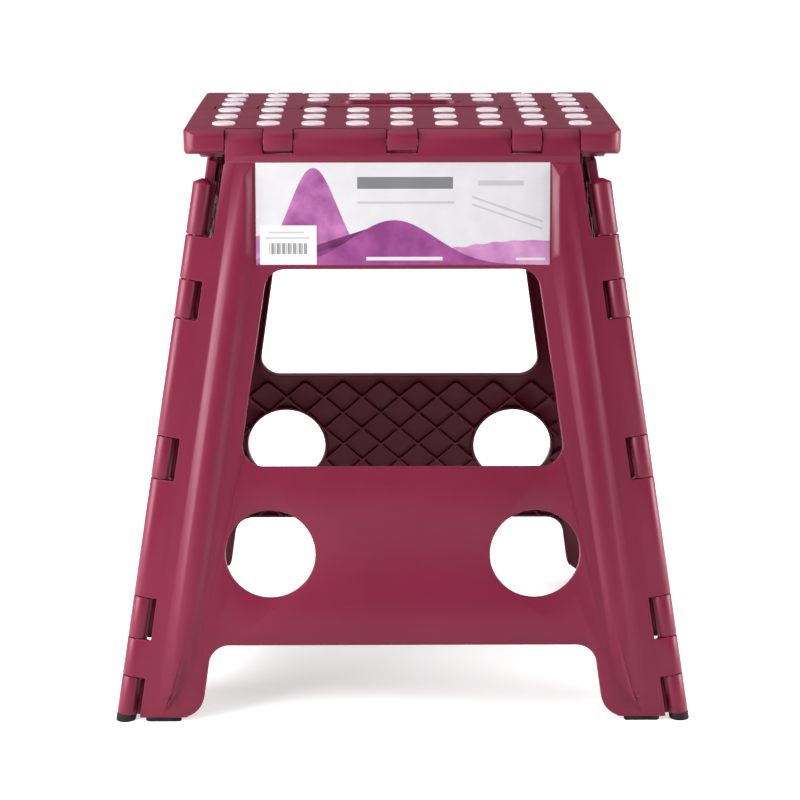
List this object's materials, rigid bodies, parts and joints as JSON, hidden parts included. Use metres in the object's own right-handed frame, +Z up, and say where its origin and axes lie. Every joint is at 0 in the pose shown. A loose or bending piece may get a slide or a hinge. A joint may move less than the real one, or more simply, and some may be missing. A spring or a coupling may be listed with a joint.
{
  "type": "folding mounting block",
  "caption": "Folding plastic step stool used as a mounting block, with leaning hinged legs, inward-folding sides and a two-leaf dotted top with a carrying handle.",
  "frame": {"origin": "on the floor under the middle of the top, at the bottom centre of the whole stool", "axes": "+Z up, +X to the right as seen from the front, front leg panel towards -Y, the top's centre hinge along X"},
  "size_m": [0.3828, 0.3042, 0.3909],
  "materials": {
    "plum_plastic": "semi-gloss moulded polypropylene",
    "white_grip": "matt soft plastic",
    "black_rubber": "matt",
    "steel_rod": "drawn wire",
    "label": "printed film",
    "sticker": "printed paper"
  },
  "bodies": {
    "front_leg": {"front_leg_panel": "plum_plastic", "front_top_rod": "steel_rod", "left_front_corner_rod": "steel_rod", "right_front_corner_rod": "steel_rod", "front_left_foot_pad": "black_rubber", "front_right_foot_pad": "black_rubber", "front_label": "label", "barcode_sticker": "sticker"},
    "back_leg": {"back_leg_panel": "plum_plastic", "back_top_rod": "steel_rod", "left_back_corner_rod": "steel_rod", "right_back_corner_rod": "steel_rod", "back_left_foot_pad": "black_rubber", "back_right_foot_pad": "black_rubber"},
    "left_front_side": {"left_front_side_panel": "plum_plastic", "left_side_rod": "steel_rod", "left_front_foot_cap": "black_rubber"},
    "left_back_side": {"left_back_side_panel": "plum_plastic", "left_back_foot_cap": "black_rubber"},
    "right_front_side": {"right_front_side_panel": "plum_plastic", "right_side_rod": "steel_rod", "right_front_foot_cap": "black_rubber"},
    "right_back_side": {"right_back_side_panel": "plum_plastic", "right_back_foot_cap": "black_rubber"},
    "front_top": {"front_top_panel": "plum_plastic", "left_top_centre_rod": "steel_rod", "right_top_centre_rod": "steel_rod", "front_dots_row_1": "white_grip", "front_dots_row_2": "white_grip", "front_dots_row_3": "white_grip"},
    "back_top": {"back_top_panel": "plum_plastic", "back_dots_row_1": "white_grip", "back_dots_row_2": "white_grip", "back_dots_row_3": "white_grip"}
  },
  "joints": [
    {"name": "left_front_corner_hinge", "type": "hinge", "parent": "front_leg", "child": "left_front_side", "pos_m": [-0.1548, -0.12097, 0.19], "axis": [-0.1547, -0.1209, -0.9805], "range_deg": [0, 83.65]},
    {"name": "left_side_middle_hinge", "type": "hinge", "parent": "left_front_side", "child": "left_back_side", "pos_m": [-0.1548, 0, 0.19], "axis": [0.1559, 0, 0.9878], "range_deg": [0, 165.33]},
    {"name": "left_back_corner_hinge", "type": "hinge", "parent": "left_back_side", "child": "back_leg", "pos_m": [-0.1548, 0.12097, 0.19], "axis": [-0.1547, 0.1209, -0.9805], "range_deg": [0, 83.7]},
    {"name": "right_front_corner_hinge", "type": "hinge", "parent": "front_leg", "child": "right_front_side", "pos_m": [0.1548, -0.12097, 0.19], "axis": [-0.1547, 0.1209, 0.9805], "range_deg": [0, 83.7]},
    {"name": "right_back_corner_hinge", "type": "hinge", "parent": "back_leg", "child": "right_back_side", "pos_m": [0.1548, 0.12097, 0.19], "axis": [0.1547, 0.1209, -0.9805], "range_deg": [0, 83.7]},
    {"name": "front_top_hinge", "type": "hinge", "parent": "front_leg", "child": "front_top", "pos_m": [0, -0.0976, 0.3795], "axis": [1, 0, 0], "range_deg": [0, 74.1]},
    {"name": "back_top_hinge", "type": "hinge", "parent": "back_leg", "child": "back_top", "pos_m": [0, 0.0976, 0.3795], "axis": [-1, 0, 0], "range_deg": [0, 74.1]}
  ],
  "couplings": [
    {"joint": "left_side_middle_hinge", "follows": "left_front_corner_hinge", "ratio": 1.9759},
    {"joint": "left_back_corner_hinge", "follows": "left_front_corner_hinge", "ratio": 1},
    {"joint": "right_front_corner_hinge", "follows": "left_front_corner_hinge", "ratio": 1},
    {"joint": "right_back_corner_hinge", "follows": "left_front_corner_hinge", "ratio": 1},
    {"joint": "front_top_hinge", "follows": "left_front_corner_hinge", "ratio": 0.88527},
    {"joint": "back_top_hinge", "follows": "left_front_corner_hinge", "ratio": 0.88527}
  ]
}
